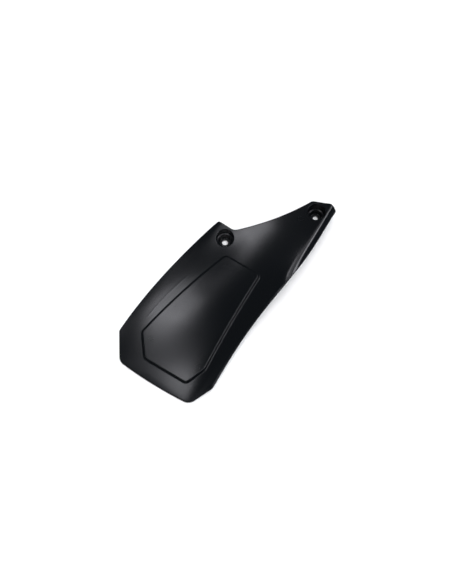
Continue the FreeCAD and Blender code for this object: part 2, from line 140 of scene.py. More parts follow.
@dataclass
class DishedSkin:
    """The smooth front of the flap: cross sections lofted along Y.

    A place on the skin has two coordinates, both in mm: the length along its cross section, which equals X on
    the line at X = datum, and Y.
    """

    stations: tuple[Station, ...]
    roll_width: float = 4.5
    right_border: float = 17.0
    fold_width: float = 10.0
    datum: float = 30.0
    across_degree: int = 3
    up_degree: int = 4
    middle_knots: int = 2
    rows: int = 181
    columns: int = 361
    fine_rows: int = 4001
    nudge: float = 1e-3
    slope_step: float = 0.05

    def __post_init__(self) -> None:
        """Works out the poles of the loft, and tables to find places on it."""
        sections = np.array([self._poles(station) for station in self.stations])
        chords = np.sqrt((np.diff(sections, axis=0) ** 2).sum((1, 2)))
        params = np.concatenate([[0.0], np.cumsum(chords)]) / chords.sum()
        middle = params[len(params) // 2]
        ends = self.up_degree + 1
        self._up_knots = np.array([0.0] * ends + [middle] * self.middle_knots + [1.0] * ends)
        spans = sections.shape[1] - self.across_degree
        inner = np.arange(spans + 1.0)
        self._across_knots = np.concatenate([[0.0] * self.across_degree, inner, [spans] * self.across_degree])
        weights = spline_basis(self._up_knots, self.up_degree, params)
        flat = sections.reshape(len(sections), -1)
        self._net = np.linalg.solve(weights, flat).reshape(sections.shape)
        self.end = float(spans)
        self._v_table = np.linspace(0.0, 1.0, self.fine_rows)
        self._y_table = spline_basis(self._up_knots, self.up_degree, self._v_table) @ self._net[:, 0, 1]
        self._fill_tables()

    def _poles(self, station: Station) -> list[tuple[float, float, float]]:
        """The poles of one cross section.

        Args:
            station: The cross section.

        Returns:
            Nine points from the left end to the right edge.
        """
        crease = station.left + station.border
        inner = station.right - self.right_border
        third = (inner - crease) / 3.0
        left_top = station.floor + station.left_rise
        right_top = station.floor + station.right_rise
        outer_top = station.floor + station.outer_rise
        lip_top = right_top - (right_top - outer_top) * station.lip / self.fold_width
        places = (
            (station.left, left_top - station.roll),
            (station.left + self.roll_width, left_top),
            (crease, station.floor + station.crease),
            (crease + third, station.floor),
            (inner - third, station.floor),
            (inner, station.floor + station.inner_rise),
            (station.right - self.fold_width, outer_top),
            (station.right - station.lip, lip_top),
            (station.right, right_top - station.fold),
        )
        return [(across, station.along, height) for across, height in places]

    def _fill_tables(self) -> None:
        """Samples the cross sections, to turn X or a length along them into a parameter."""
        self._row_y = np.linspace(self._y_table[0], self._y_table[-1], self.rows)
        self._column_t = np.linspace(0.0, self.end, self.columns)
        places_t = np.tile(self._column_t, self.rows)
        places_y = np.repeat(self._row_y, self.columns)
        points = self.point(places_t, places_y).reshape(self.rows, self.columns, 3)
        self._x_rows = points[:, :, 0]
        steps = np.linalg.norm(np.diff(points, axis=1), axis=2)
        lengths = np.concatenate([np.zeros((self.rows, 1)), np.cumsum(steps, axis=1)], axis=1)
        at_datum = [np.interp(self.datum, xs, run) for xs, run in zip(self._x_rows, lengths)]
        self._s_rows = lengths - np.array(at_datum)[:, None] + self.datum

    def point(self, t: np.ndarray, y: np.ndarray) -> np.ndarray:
        """Points of the skin.

        Args:
            t: Parameters of the cross section.
            y: Places on Y.

        Returns:
            One point for each pair.
        """
        v = np.interp(y, self._y_table, self._v_table)
        across = spline_basis(self._across_knots, self.across_degree, np.asarray(t, float))
        up = spline_basis(self._up_knots, self.up_degree, v)
        rows = np.einsum("nj,jik->nik", up, self._net)
        return np.einsum("ni,nik->nk", across, rows)

    def _row_mix(self, table: np.ndarray, y: np.ndarray) -> np.ndarray:
        """Rows of a table at places on Y.

        Args:
            table: A row for each sampled cross section.
            y: Places on Y.

        Returns:
            A row for each place, between the nearest two of the table.
        """
        place = np.interp(y, self._row_y, np.arange(self.rows))
        low = np.clip(place.astype(int), 0, self.rows - 2)
        share = (place - low)[:, None]
        return table[low] * (1.0 - share) + table[low + 1] * share

    def _parameter(self, table: np.ndarray, value: np.ndarray, y: np.ndarray) -> np.ndarray:
        """The parameters at which a table's rows reach values.

        Args:
            table: A rising row for each sampled cross section.
            value: Values to reach.
            y: Places on Y.

        Returns:
            One parameter for each value.
        """
        run = self._row_mix(table, y)
        index = np.clip((run < value[:, None]).sum(1), 1, self.columns - 1)
        pick = np.arange(len(value))
        low, high = run[pick, index - 1], run[pick, index]
        share = np.clip((value - low) / (high - low), 0.0, 1.0)
        return self._column_t[index - 1] + share * (self._column_t[1] - self._column_t[0])

    def domain(self, plan: np.ndarray) -> np.ndarray:
        """Finds points of the plan on the skin.

        Args:
            plan: Rows of X and Y.

        Returns:
            Rows of coordinates on the skin.
        """
        t = self._parameter(self._x_rows, plan[:, 0], plan[:, 1])
        run = self._row_mix(self._s_rows, plan[:, 1])
        column = t / self.end * (self.columns - 1)
        low = np.clip(column.astype(int), 0, self.columns - 2)
        pick = np.arange(len(t))
        share = column - low
        return np.column_stack([run[pick, low] * (1 - share) + run[pick, low + 1] * share, plan[:, 1]])

    def right_edge(self, y: np.ndarray) -> np.ndarray:
        """Coordinates of the skin's right edge at places on Y."""
        return np.column_stack([self._row_mix(self._s_rows, y)[:, -1], y])

    def right_reach(self, y: np.ndarray) -> np.ndarray:
        """X of the skin's right edge at places on Y."""
        return self.point(np.full(len(y), self.end), y)[:, 0]

    def frame_at(self, places: np.ndarray) -> tuple[np.ndarray, np.ndarray, np.ndarray, np.ndarray]:
        """The skin at coordinates on it.

        Args:
            places: Rows of coordinates on the skin.

        Returns:
            Points, outward normals, and unit vectors across and up the skin.
        """
        s, y = places.T
        t = self._parameter(self._s_rows, s, y)
        t = np.clip(t, self.nudge, self.end - self.nudge)
        across = unit(self.point(t + self.nudge, y) - self.point(t - self.nudge, y))
        low = np.clip(y - self.slope_step, self._y_table[0], self._y_table[-1])
        high = np.clip(y + self.slope_step, self._y_table[0], self._y_table[-1])
        up = self.point(t, high) - self.point(t, low)
        normal = unit(np.cross(across, up))
        return self.point(t, y), normal, across, unit(np.cross(normal, across))


class Turn(Enum):
    """The side of its chord to which an arc bulges, seen along its travel."""

    LEFT = 1
    RIGHT = -1


def side(start: tuple[float, float], end: tuple[float, float], step: float = SIDE_STEP, radius: float = 0.0,
         turn: Turn = Turn.LEFT) -> np.ndarray:
    """Points along one side of an outline.

    Args:
        start: First corner.
        end: Last corner.
        step: Distance between points.
        radius: Radius of the side, or zero if it is straight.
        turn: Side to which an arc bulges.

    Returns:
        Points from corner to corner, both included.
    """
    first, last = np.array(start), np.array(end)
    chord = last - first
    length = np.hypot(*chord)
    shares = np.linspace(0.0, 1.0, max(2, int(length / step)))
    points = first + shares[:, None] * chord
    if radius:
        half = length / 2.0
        depth = math.sqrt(radius ** 2 - half ** 2)
        bulge = np.sqrt(radius ** 2 - ((shares - 0.5) * length) ** 2) - depth
        points = points + bulge[:, None] * turn.value * np.array((-chord[1], chord[0])) / length
    return points


def spaced(points: np.ndarray, step: float) -> np.ndarray:
    """Spaces an open run of points evenly.

    Args:
        points: The run.
        step: Distance between the new points.

    Returns:
        The new run, with the same ends.
    """
    runs = np.concatenate([[0.0], np.cumsum(np.linalg.norm(np.diff(points, axis=0), axis=1))])
    places = np.linspace(0.0, runs[-1], max(2, int(round(runs[-1] / step)) + 1))
    return np.column_stack([np.interp(places, runs, points[:, k]) for k in range(points.shape[1])])


def left_of(points: np.ndarray) -> np.ndarray:
    """Unit vectors to the left of an open run of points."""
    ahead = unit(np.gradient(points, axis=0))
    return np.column_stack([-ahead[:, 1], ahead[:, 0]])


def rounded_loop(sides: list[np.ndarray], radii: list[float], step: float) -> tuple[np.ndarray, np.ndarray]:
    """Joins sides to a closed loop with rounded corners.

    Args:
        sides: Runs of points, each ending where the next starts.
        radii: Radius of the corner at the start of each side.
        step: Distance between the loop's points.

    Returns:
        The loop's points, and the side that each belongs to; a corner's arc belongs to the side that follows.
    """
    count = len(sides)
    starts, ends, arcs = [0] * count, [0] * count, [None] * count
    for place in range(count):
        before, after = sides[place - 1], sides[place]
        left_before, left_after = left_of(before), left_of(after)
        bend = left_before[-1, 0] * left_after[0, 1] - left_before[-1, 1] * left_after[0, 0]
        shift = math.copysign(radii[place], bend)
        rail_before, rail_after = before + shift * left_before, after + shift * left_after
        gaps = np.linalg.norm(rail_before[:, None] - rail_after[None], axis=2)
        last, first = np.unravel_index(np.argmin(gaps), gaps.shape)
        centre = (rail_before[last] + rail_after[first]) / 2.0
        angles = [math.atan2(*(run[at] - centre)[::-1]) for run, at in ((before, last), (after, first))]
        sweep = math.remainder(angles[1] - angles[0], math.tau)
        shares = np.linspace(0.0, 1.0, max(3, int(abs(sweep) * radii[place] / SIDE_STEP)))[1:-1]
        turned = angles[0] + shares * sweep
        arcs[place] = centre + radii[place] * np.column_stack([np.cos(turned), np.sin(turned)])
        ends[place - 1], starts[place] = last, first
    points, owners = [], []
    for place in range(count):
        run = sides[place][starts[place]:ends[place] + 1]
        for piece in (arcs[place], run):
            points.append(piece)
            owners.append(np.full(len(piece), place))
    loop = np.concatenate(points + [points[0][:1]])
    owner = np.concatenate(owners + [owners[0][:1]])
    runs = np.concatenate([[0.0], np.cumsum(np.linalg.norm(np.diff(loop, axis=0), axis=1))])
    places = np.linspace(0.0, runs[-1], int(runs[-1] / step) + 1)[:-1]
    even = np.column_stack([np.interp(places, runs, loop[:, k]) for k in range(2)])
    return even, owner[np.searchsorted(runs, places, side="right") - 1]


def along(loop: np.ndarray) -> np.ndarray:
    """Unit vectors along a closed loop."""
    return unit(np.roll(loop, -1, axis=0) - np.roll(loop, 1, axis=0))


def inset(loop: np.ndarray, distance: np.ndarray) -> np.ndarray:
    """A closed loop of the plan moved to the left of its travel."""
    ahead = along(loop)
    return loop + distance * np.column_stack([-ahead[:, 1], ahead[:, 0]])


def encloses(loop: np.ndarray, points: np.ndarray) -> np.ndarray:
    """Tells which points lie inside a closed loop.

    Args:
        loop: The loop's points.
        points: Points to test.

    Returns:
        One truth value for each point.
    """
    x, y = points[:, :1], points[:, 1:]
    start, end = loop, np.roll(loop, -1, axis=0)
    spans = (start[:, 1] > y) != (end[:, 1] > y)
    rise = end[:, 1] - start[:, 1]
    rise = np.where(rise == 0.0, 1.0, rise)
    crossing = start[:, 0] + (y - start[:, 1]) / rise * (end[:, 0] - start[:, 0])
    return (spans & (x < crossing)).sum(1) % 2 == 1


def rolled(corner: np.ndarray, first: np.ndarray, last: np.ndarray, radius: float,
           count: int) -> tuple[list[np.ndarray], list[np.ndarray], np.ndarray]:
    """Rolls a corner between two rays into an arc, for each point of a loop.

    Args:
        corner: Points of the corner.
        first: Unit rays to the arc's start.
        last: Unit rays to the arc's end.
        radius: Radius of the arc.
        count: Steps of the arc.

    Returns:
        The arc's loops, the directions from its centre, and the distance of its ends from the corner.
    """
    angle = np.arccos(np.clip(dot(first, last), -1.0, 1.0))
    reach = radius / np.tan(angle / 2.0)
    centre = corner + unit(first + last) * radius / np.sin(angle / 2.0)
    start = (corner + first * reach - centre) / radius
    end = (corner + last * reach - centre) / radius
    sweep = math.pi - angle
    ways = []
    for share in np.linspace(0.0, 1.0, count + 1):
        ways.append((np.sin((1.0 - share) * sweep) * start + np.sin(share * sweep) * end) / np.sin(sweep))
    return [centre + radius * way for way in ways], ways, reach


@dataclass
class ShellMesh:
    """Points, normals and faces of one closed shell, gathered loop by loop."""

    points: list[np.ndarray] = field(default_factory=list)
    normals: list[np.ndarray] = field(default_factory=list)
    faces: list[tuple[int, ...]] = field(default_factory=list)
    count: int = 0

    def add(self, points: np.ndarray, normals: np.ndarray) -> np.ndarray:
        """Adds points with their normals.

        Args:
            points: The points.
            normals: Outward directions at the points.

        Returns:
            The points' numbers in the shell.
        """
        self.points.append(points)
        self.normals.append(normals)
        numbers = np.arange(self.count, self.count + len(points))
        self.count += len(points)
        return numbers

    def strip(self, first: np.ndarray, last: np.ndarray) -> None:
        """Joins two loops of equal count; the last lies to the left of the first's travel."""
        ring = zip(first, np.roll(first, -1), np.roll(last, -1), last)
        self.faces += [tuple(int(number) for number in face) for face in ring]

    def strips(self, loops: list[np.ndarray]) -> None:
        """Joins a row of loops."""
        for first, last in zip(loops, loops[1:]):
            self.strip(first, last)

    def fill(self, rim: np.ndarray, rim_places: np.ndarray, holes: list[Ring], lift: "Lift", spacing: float,
             downward: bool) -> None:
        """Fills the skin inside a loop with even triangles.

        Args:
            rim: Numbers of the outer loop's points.
            rim_places: Coordinates of those points on the skin.
            holes: Numbers and coordinates of each inner loop.
            lift: Turns coordinates into points and normals.
            spacing: Distance between the points inside.
            downward: Whether the triangles face the back.
        """
        loops = [(rim, rim_places)] + holes
        numbers = np.concatenate([loop for loop, _ in loops])
        places = np.concatenate([points for _, points in loops])
        inner = self._lattice(rim_places, [points for _, points in holes], places, spacing)
        inner_numbers = self.add(*lift(inner))
        numbers = np.concatenate([numbers, inner_numbers])
        places = np.concatenate([places, inner])
        edges, start = [], 0
        for loop, _ in loops:
            ring = np.arange(start, start + len(loop))
            edges += list(zip(ring.tolist(), np.roll(ring, -1).tolist()))
            start += len(loop)
        made = delaunay_2d_cdt([Vector(place) for place in places], edges, [], 0, MERGE)
        origin = np.array([sources[0] for sources in made[3]])
        triangles = origin[np.array(made[2])]
        middles = places[triangles].mean(1)
        keep = encloses(rim_places, middles)
        for _, hole in holes:
            keep &= ~encloses(hole, middles)
        order = -1 if downward else 1
        self.faces += [tuple(face) for face in numbers[triangles[keep]][:, ::order].tolist()]

    @staticmethod
    def _lattice(rim: np.ndarray, holes: list[np.ndarray], edge: np.ndarray, spacing: float) -> np.ndarray:
        """Points of an even three-sided lattice inside a loop.

        Args:
            rim: The loop.
            holes: Loops inside it that stay empty.
            edge: Points of all the loops, which the lattice keeps clear of.
            spacing: Distance between the points.

        Returns:
            Rows of coordinates on the skin.
        """
        low, high = rim.min(0), rim.max(0)
        rows = np.arange(low[1], high[1], spacing * ROW_SHARE)
        lattice = []
        for place, y in enumerate(rows):
            xs = np.arange(low[0] + spacing / 2.0 * (place % 2), high[0], spacing)
            lattice.append(np.column_stack([xs, np.full(len(xs), y)]))
        points = np.concatenate(lattice)
        keep = encloses(rim, points)
        for hole in holes:
            keep &= ~encloses(hole, points)
        points = points[keep]
        tree = KDTree(len(edge))
        for number, place in enumerate(edge):
            tree.insert((*place, 0.0), number)
        tree.balance()
        clear = [tree.find((*point, 0.0))[2] > spacing * CLEAR_SHARE for point in points]
        return points[np.array(clear)]

    def piece(self, name: str, material: bpy.types.Material) -> bpy.types.Object:
        """Writes the shell as a mesh object at the origin, in metres.

        Args:
            name: Name of the piece.
            material: Finish of the plastic.

        Returns:
            The piece's object.
        """
        mesh = bpy.data.meshes.new(name)
        mesh.from_pydata((np.concatenate(self.points) * MM).tolist(), [], self.faces)
        mesh.validate()
        mesh.shade_smooth()
        mesh.normals_split_custom_set_from_vertices(unit(np.concatenate(self.normals)).tolist())
        mesh.materials.append(material)
        made = bpy.data.objects.new(name, mesh)
        bpy.context.scene.collection.objects.link(made)
        return made


@dataclass(frozen=True)
class Lift:
    """Turns coordinates on the skin into points at a distance above it, facing up or down."""

    skin: DishedSkin
    height: float
    facing: float = 1.0

    def __call__(self, places: np.ndarray) -> tuple[np.ndarray, np.ndarray]:
        """Points and normals at coordinates on the skin."""
        points, normals, _, _ = self.skin.frame_at(places)
        return points + self.height * normals, normals * self.facing


@dataclass(frozen=True)
class ScrewCup:
    """A stepped cup for a screw's head, on an upright axis, in mm; both drafts are shares of the height."""

    across: float
    along: float
    bore: float
    rim_round: float
    floor: float = 2.5
    floor_radius: float = 5.5
    step: float = 8.0
    step_inner: float = 7.2
    step_outer: float = 8.75
    draft: float = 1.25 / 9.5
    wall: float = 1.5
    wall_draft: float = 0.121
    edge: float = 0.35
    ledge_fall: float = 0.2
    ledge_round: float = 0.6
    joint_round: float = 0.8
    lead: float = 1.0
    sides: int = 112
    edge_steps: int = 4
    rim_steps: int = 6

    def ways(self) -> np.ndarray:
        """Level unit vectors out of the axis, all round."""
        angles = np.arange(self.sides) * math.tau / self.sides
        return np.column_stack([np.cos(angles), np.sin(angles), np.zeros(self.sides)])

    def ring(self, radius: np.ndarray) -> np.ndarray:
        """Points of the plan on a ring about the axis."""
        return np.array((self.across, self.along)) + self.ways()[:, :2] * radius

    def profile(self) -> tuple[np.ndarray, np.ndarray]:
        """The cup's half section from the step's wall down through the bore and up outside.

        Returns:
            Radii and heights with rounded corners, and the normal at each.
        """
        shoulder = self.step - self.wall
        corners = np.array((
            (self.step_outer + self.draft * self.lead, self.step + self.lead),
            (self.step_outer, self.step),
            (self.step_inner, self.step - self.ledge_fall),
            (self.floor_radius, self.floor),
            (self.bore / 2.0, self.floor),
            (self.bore / 2.0, 0.0),
            (self.floor_radius + self.wall, 0.0),
            (self.step_inner + self.wall, shoulder),
            (self.step_outer + self.wall, shoulder),
            (self.step_outer + self.wall + self.wall_draft * self.lead, shoulder + self.lead),
        ))
        # Both ends of the section stay as they are, and the ledge has a round of its own
        radii = [self.edge] * (len(corners) - 2)
        radii[1] = self.ledge_round
        places, normals = [corners[0]], [self._facing(corners[1] - corners[0])]
        for before, here, after, radius in zip(corners, corners[1:], corners[2:], radii):
            back, ahead = unit(before - here), unit(after - here)
            arc, ways, _ = rolled(here[None], back[None], ahead[None], radius, self.edge_steps)
            outward = self._facing(-back)
            sign = 1.0 if outward @ ways[0][0] > 0.0 else -1.0
            places += [points[0] for points in arc]
            normals += [sign * way[0] for way in ways]
        places.append(corners[-1])
        normals.append(self._facing(corners[-1] - corners[-2]))
        return np.array(places), np.array(normals)

    @staticmethod
    def _facing(travel: np.ndarray) -> np.ndarray:
        """The outward normal of a stretch of the half section."""
        return unit(np.array((travel[1], -travel[0])))


@dataclass(frozen=True)
class Plan:
    """The flap's outline seen from the front: its corners, its arcs and their roundings, in mm."""

    mount_across: float = UPPER_ACROSS
    mount_along: float = UPPER_ALONG
    tail: float = TAIL
    fold_reach: float = 18.8
    top_reach: float = 17.4
    crest_reach: float = 8.3
    fold_end_drop: float = 5.0
    tip_inset: float = 11.5
    tip_reach: float = 9.6
    notch_across: float = 3.0
    ear_top: float = 13.1
    ear_left: float = 16.9
    left_cut_across: float = 36.4
    left_cut_rise: float = 27.4
    tail_left: float = 16.0
    tail_right_inset: float = 15.8
    tail_right_lift: float = 2.4
    right_cut_run: float = 11.2
    right_cut_rise: float = 27.2
    arm_radius: float = 270.0
    left_radius: float = 490.0
    tail_radius: float = 460.0
    tail_left_round: float = 11.0
    tail_right_round: float = 11.0
    left_cut_round: float = 6.0
    right_cut_round: float = 10.0
    ear_round: float = 3.0
    notch_round: float = 9.0
    tip_round: float = 6.0
    fold_round: float = 3.0
    overshoot: float = 2.0
    fine_step: float = 0.02
    fold_step: float = 0.005

    def loop(self, skin: DishedSkin, step: float) -> tuple[np.ndarray, np.ndarray]:
        """The outline on the skin.

        Args:
            skin: The flap's front.
            step: Distance between the loop's points.

        Returns:
            A closed loop of coordinates, and which of its points lie on the folded right edge.
        """
        fold_line = self.mount_across + self.fold_reach
        top = self.mount_along + self.top_reach
        tail_right = (fold_line - self.tail_right_inset, self.tail + self.tail_right_lift)
        past_cut = (tail_right[0] + self.overshoot * self.right_cut_run,
                    tail_right[1] + self.overshoot * self.right_cut_rise)
        past_fold = (past_cut[0], top - self.fold_end_drop)
        crest = (self.mount_across + self.crest_reach, top)
        tip = (self.mount_across - self.tip_inset, self.mount_along + self.tip_reach)
        notch = (self.notch_across, self.ear_top)
        ear = (-self.ear_left, self.ear_top)
        left_cut = (-self.left_cut_across, self.tail + self.left_cut_rise)
        tail_left = (-self.tail_left, self.tail)
        rising = self._clipped(skin, side(tail_right, past_cut, self.fine_step))
        closing = self._clipped(skin, side(crest, past_fold, self.fold_step))[::-1]
        edge = skin.right_edge(np.arange(rising[-1, 1], closing[0, 1], SIDE_STEP))
        plans = (
            closing,
            side(crest, tip),
            side(tip, notch, radius=self.arm_radius),
            side(notch, ear),
            side(ear, left_cut, radius=self.left_radius, turn=Turn.RIGHT),
            side(left_cut, tail_left),
            side(tail_left, tail_right, radius=self.tail_radius, turn=Turn.RIGHT),
        )
        runs = [skin.domain(rising), edge] + [skin.domain(plan) for plan in plans]
        rounds = [self.tail_right_round, self.right_cut_round, self.fold_round, self.tip_round, self.tip_round,
                  self.notch_round, self.ear_round, self.left_cut_round, self.tail_left_round]
        loop, owner = rounded_loop([spaced(run, SIDE_STEP) for run in runs], rounds, step)
        return loop, owner == 1

    @staticmethod
    def _clipped(skin: DishedSkin, plan: np.ndarray) -> np.ndarray:
        """The stretch of a line of the plan up to the skin's right edge."""
        outside = plan[:, 0] > skin.right_reach(plan[:, 1])
        return plan[:int(np.argmax(outside))]


@dataclass(frozen=True)
class Panel:
    """The raised six-sided panel and the relief behind it, in mm; lifts are measured from the tail."""

    tail: float = TAIL
    step: float = 2.2
    run: float = 1.3
    edge: float = 1.5
    relief_edge: float = 0.5
    corner_round: float = 5.0
    top: float = 16.1
    top_left: float = 12.1
    top_right: float = 56.0
    right: float = 63.6
    right_lift: float = 41.1
    foot_right: float = 55.7
    foot_right_lift: float = 18.5
    foot_left: float = 4.5
    foot_left_lift: float = 16.6
    left: float = 14.8
    left_lift: float = 38.9
    left_radius: float = 490.0
    right_radius: float = 980.0

    def loop(self, skin: DishedSkin, draw_in: float, step: float) -> np.ndarray:
        """The panel's outline on the skin.

        Args:
            skin: The flap's front.
            draw_in: Distance by which the corners are drawn in.
            step: Distance between the loop's points.

        Returns:
            A closed loop of coordinates.
        """
        top_left = (self.top_left + draw_in, -self.top - draw_in)
        left = (-self.left + draw_in, self.tail + self.left_lift)
        foot_left = (self.foot_left + draw_in / 2.0, self.tail + self.foot_left_lift + draw_in)
        foot_right = (self.foot_right - draw_in / 2.0, self.tail + self.foot_right_lift + draw_in)
        right = (self.right - draw_in, self.tail + self.right_lift)
        top_right = (self.top_right - draw_in, -self.top - draw_in)
        plans = (
            side(top_left, left, radius=self.left_radius, turn=Turn.RIGHT),
            side(left, foot_left),
            side(foot_left, foot_right),
            side(foot_right, right),
            side(right, top_right, radius=self.right_radius),
            side(top_right, top_left),
        )
        runs = [spaced(skin.domain(plan), SIDE_STEP) for plan in plans]
        return rounded_loop(runs, [self.corner_round] * len(runs), step)[0]


@dataclass
class MudFlap:
    """The moulded flap: its plan, its raised panel, its cups and its rounded edges, in mm.

    The outer edge stands upright, but square to the skin on the fold and wherever the upright share of the
    skin's normal falls below steep.
    """

    skin: DishedSkin
    plan: Plan
    panel: Panel
    cups: tuple[ScrewCup, ...]
    wall: float = 2.2
    front_round: float = 1.3
    back_round: float = 0.6
    loop_step: float = 0.55
    front_spacing: float = 2.0
    back_spacing: float = 3.0
    steps: int = 4
    steep: float = 0.75
    cup_rounds: int = 6
    joint_rounds: int = 3

    def build(self, material: bpy.types.Material) -> bpy.types.Object:
        """Builds the whole shell.

        Args:
            material: Finish of the plastic.

        Returns:
            The shell's object.
        """
        mesh = ShellMesh()
        front_rim, back_rim = self._rim(mesh)
        step_foot, step_head = self._panel(mesh)
        pocket_mouth, pocket_floor = self._pocket(mesh)
        cup_loops = [self._cup(mesh, cup) for cup in self.cups]
        front_holes = [step_foot] + [front for front, _ in cup_loops]
        back_holes = [pocket_mouth] + [back for _, back in cup_loops]
        mesh.fill(*front_rim, front_holes, Lift(self.skin, 0.0), self.front_spacing, False)
        mesh.fill(*step_head, [], Lift(self.skin, self.panel.step), self.front_spacing, False)
        mesh.fill(*back_rim, back_holes, Lift(self.skin, -self.wall, -1.0), self.back_spacing, True)
        pocket_height = self.panel.step - self.wall
        mesh.fill(*pocket_floor, [], Lift(self.skin, pocket_height, -1.0), self.back_spacing, True)
        return mesh.piece("flap_shell", material)

    def _rim(self, mesh: ShellMesh) -> tuple[Ring, Ring]:
        """The rounded edge all round the flap.

        Args:
            mesh: Shell to add to.

        Returns:
            Numbers and coordinates of the loops where the front and the back start.
        """
        loop, folded = self.plan.loop(self.skin, self.loop_step)
        points, normals, across, up = self.skin.frame_at(loop)
        tangents = along(points)
        inward = unit(np.cross(normals, tangents))
        level = unit(np.cross(tangents, UP))
        steep = normals[:, 2:] < self.steep
        outward = np.where(folded[:, None] | steep, -inward, level)
        down = -unit(normals - dot(normals, outward) * outward)
        depth = self.wall / dot(-down, normals)
        feet = points + down * depth
        front_arc, front_ways, front_reach = rolled(points, inward, down, self.front_round, self.steps)
        back_arc, back_ways, back_reach = rolled(feet, -down, inward, self.back_round, self.steps)
        front_places = inset(loop, front_reach)
        slide = down * depth + normals * self.wall
        shift = np.hstack([dot(slide, across), dot(slide, up)])
        back_places = inset(loop + shift, back_reach)
        front = mesh.add(*Lift(self.skin, 0.0)(front_places))
        back = mesh.add(*Lift(self.skin, -self.wall, -1.0)(back_places))
        loops = [front]
        loops += [mesh.add(*pair) for pair in zip(front_arc[1:], front_ways[1:])]
        loops += [mesh.add(*pair) for pair in zip(back_arc[:-1], back_ways[:-1])]
        loops.append(back)
        mesh.strips(loops[::-1])
        return (front, front_places), (back, back_places)

    def _panel(self, mesh: ShellMesh) -> tuple[Ring, Ring]:
        """The rounded step round the raised panel.

        Args:
            mesh: Shell to add to.

        Returns:
            Numbers and coordinates of the loops at the step's foot and on the panel.
        """
        loop = self.panel.loop(self.skin, 0.0, self.loop_step)
        return self._step(mesh, loop, Lift(self.skin, 0.0), self.panel.run, self.panel.edge)

    def _pocket(self, mesh: ShellMesh) -> tuple[Ring, Ring]:
        """The step of the relief behind the panel.

        Args:
            mesh: Shell to add to.

        Returns:
            Numbers and coordinates of the loops at the relief's mouth and on its floor.
        """
        loop = self.panel.loop(self.skin, self.wall, self.loop_step)
        return self._step(mesh, loop, Lift(self.skin, -self.wall, -1.0), 0.0, self.panel.relief_edge)

    def _step(self, mesh: ShellMesh, loop: np.ndarray, lift: Lift, run: float, radius: float) -> tuple[Ring, Ring]:
        """The panel's step round a loop, with both of its edges rounded.

        Args:
            mesh: Shell to add to.
            loop: Coordinates of the step's middle on the skin.
            lift: Surface at the step's foot, which faces up on the front and down on the back.
            run: Width of the step's slope.
            radius: Radius of both edges.

        Returns:
            Numbers and coordinates of the loops outside and inside the step.
        """
        head_lift = Lift(self.skin, lift.height + self.panel.step, lift.facing)
        _, normals, across, up = self.skin.frame_at(loop)
        slide = UP * self.panel.step / normals[:, 2:] - normals * self.panel.step
        shift = np.hstack([dot(slide, across), dot(slide, up)])
        foot_loop = inset(loop, -run / 2.0)
        head_loop = inset(loop + shift, run / 2.0)
        feet, foot_normals = lift(foot_loop)
        heads, head_normals = head_lift(head_loop)
        outward = unit(np.cross(along(feet), foot_normals * lift.facing))
        inward = unit(np.cross(head_normals * lift.facing, along(heads)))
        rising = unit(heads - feet)
        foot_arc, foot_ways, foot_reach = rolled(feet, outward, rising, radius, self.steps)
        head_arc, head_ways, head_reach = rolled(heads, -rising, inward, radius, self.steps)
        foot_places = inset(foot_loop, -foot_reach)
        head_places = inset(head_loop, head_reach)
        foot = mesh.add(*lift(foot_places))
        head = mesh.add(*head_lift(head_places))
        loops = [foot]
        loops += [mesh.add(points, -lift.facing * ways) for points, ways in zip(foot_arc[1:], foot_ways[1:])]
        loops += [mesh.add(points, lift.facing * ways) for points, ways in zip(head_arc[:-1], head_ways[:-1])]
        loops.append(head)
        mesh.strips(loops if lift.facing > 0.0 else [ring[::-1] for ring in loops])
        return (foot, foot_places), (head, head_places)

    def _cup(self, mesh: ShellMesh, cup: ScrewCup) -> tuple[Ring, Ring]:
        """One screw cup, from its rim in the front to its outside at the back.

        Args:
            mesh: Shell to add to.
            cup: The cup.

        Returns:
            Numbers and coordinates of its loops on the front and on the back.
        """
        ways = cup.ways()
        # The rim lies where the drafted wall meets the skin, which a few rounds settle
        radius = np.full((cup.sides, 1), cup.step_outer)
        for _ in range(self.cup_rounds):
            rims, normals, _, _ = self.skin.frame_at(self.skin.domain(cup.ring(radius)))
            radius = cup.step_outer + cup.draft * (rims[:, 2:] - cup.step)
        outward = unit(ways - UP * dot(ways, normals) / normals[:, 2:])
        inside = unit(-cup.draft * ways - UP)
        arc, arc_ways, reach = rolled(rims, outward, inside, cup.rim_round, cup.rim_steps)
        front_places = self.skin.domain(cup.ring(radius + reach * dot(outward, ways)))
        front = mesh.add(*Lift(self.skin, 0.0)(front_places))
        loops = [front] + [mesh.add(*pair) for pair in zip(arc[1:], arc_ways[1:])]
        for (ring, height), (out, rise) in zip(*cup.profile()):
            points = np.column_stack([cup.ring(np.full((cup.sides, 1), ring)), np.full(cup.sides, height)])
            loops.append(mesh.add(points, ways * out + UP * rise))
        # The outside meets the back of the skin, whose points lie off the plan of the front's
        back_radius = np.full((cup.sides, 1), cup.step_outer + cup.wall)
        for _ in range(self.cup_rounds):
            plan = cup.ring(back_radius)
            under = plan
            for _ in range(self.joint_rounds):
                joints, normals, _, _ = self.skin.frame_at(self.skin.domain(under))
                under = plan + self.wall * normals[:, :2]
            heights = joints[:, 2:] - self.wall * normals[:, 2:]
            back_radius = cup.step_outer + cup.wall + cup.wall_draft * (heights - cup.step + cup.wall)
        joints = np.hstack([plan, heights])
        spread = unit(ways - UP * dot(ways, normals) / normals[:, 2:])
        falling = unit(-cup.wall_draft * ways - UP)
        arc, arc_ways, reach = rolled(joints, falling, spread, cup.joint_round, self.steps)
        loops += [mesh.add(points, -way) for points, way in zip(arc[:-1], arc_ways[:-1])]
        under = cup.ring(back_radius + reach) + self.wall * normals[:, :2]
        back_places = self.skin.domain(under)
        back = mesh.add(*Lift(self.skin, -self.wall, -1.0)(back_places))
        loops.append(back)
        mesh.strips(loops)
        return (front, front_places), (back, back_places)


